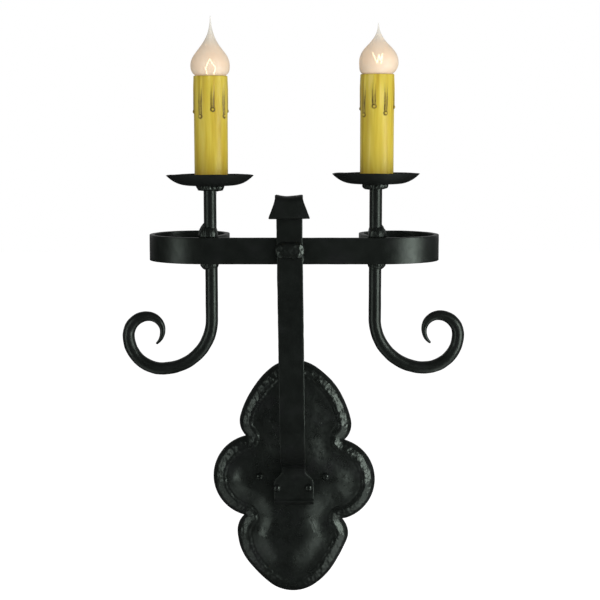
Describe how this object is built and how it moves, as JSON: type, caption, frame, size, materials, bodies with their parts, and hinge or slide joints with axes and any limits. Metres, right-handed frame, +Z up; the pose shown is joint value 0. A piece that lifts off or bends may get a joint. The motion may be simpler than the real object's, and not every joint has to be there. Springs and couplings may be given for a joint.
{
  "type": "two-light candle sconce",
  "caption": "Black forged-iron wall sconce: four-lobed plate, flat stem, ring band with rolled eyes, scrolled lamp rods, drip pans, candle sleeves and flame-tip bulbs.",
  "frame": {"origin": "centre of the mounting crossbar's rear face, on the wall plane", "axes": "+Z up, the front faces -Y, +Y goes into the wall, +X to the viewer's right"},
  "size_m": [0.3356, 0.1406, 0.6027],
  "materials": {
    "forged_iron": "satin black over hammer marks",
    "pan_iron": "satin black spun sheet",
    "black_screw": "black oxide",
    "zinc_steel": "zinc plated",
    "ground_green": "green dyed zinc",
    "black_plastic": "moulded nylon",
    "phenolic": "moulded phenolic",
    "brass": "stamped sheet",
    "cap_brass": "stamped sheet",
    "fibre": "pressed paper fibre",
    "candle_wax": "waxy ochre with brown drips",
    "frosted_bulb": "dipped translucent coat",
    "black_glass": "vitrite button",
    "filament": "drawn wire"
  },
  "bodies": {
    "frame": {"back_plate": "forged_iron", "crossbar": "zinc_steel", "canopy_screws": "black_screw", "ground_screw": "ground_green", "wire_bushing": "black_plastic", "stem_bar": "forged_iron", "foot_rivets": "forged_iron", "ring_band": "forged_iron", "collar": "forged_iron", "weld_beads": "forged_iron", "left_scroll": "forged_iron", "left_stem_tube": "forged_iron", "left_drip_pan": "pan_iron", "left_nipple": "zinc_steel", "left_locknut": "zinc_steel", "left_socket_bracket": "zinc_steel", "left_socket_base": "phenolic", "left_centre_contact": "brass", "left_screw_shell": "brass", "left_insulating_tube": "fibre", "right_scroll": "forged_iron", "right_stem_tube": "forged_iron", "right_drip_pan": "pan_iron", "right_nipple": "zinc_steel", "right_locknut": "zinc_steel", "right_socket_bracket": "zinc_steel", "right_socket_base": "phenolic", "right_centre_contact": "brass", "right_screw_shell": "brass", "right_insulating_tube": "fibre"},
    "left_sleeve": {"left_candle_sleeve": "candle_wax"},
    "left_bulb": {"left_bulb_glass": "frosted_bulb", "left_bulb_cap": "cap_brass", "left_bulb_contact": "black_glass", "left_filament": "filament"},
    "right_sleeve": {"right_candle_sleeve": "candle_wax"},
    "right_bulb": {"right_bulb_glass": "frosted_bulb", "right_bulb_cap": "cap_brass", "right_bulb_contact": "black_glass", "right_filament": "filament"}
  },
  "joints": [
    {"name": "left_sleeve_lift", "type": "slide", "parent": "frame", "child": "left_sleeve", "axis": [0, 0, 1], "range_m": [0, 0.11]},
    {"name": "left_bulb_lift", "type": "slide", "parent": "left_sleeve", "child": "left_bulb", "axis": [0, 0, 1], "range_m": [0, 0.06]},
    {"name": "right_sleeve_lift", "type": "slide", "parent": "frame", "child": "right_sleeve", "axis": [0, 0, 1], "range_m": [0, 0.11]},
    {"name": "right_bulb_lift", "type": "slide", "parent": "right_sleeve", "child": "right_bulb", "axis": [0, 0, 1], "range_m": [0, 0.06]}
  ]
}
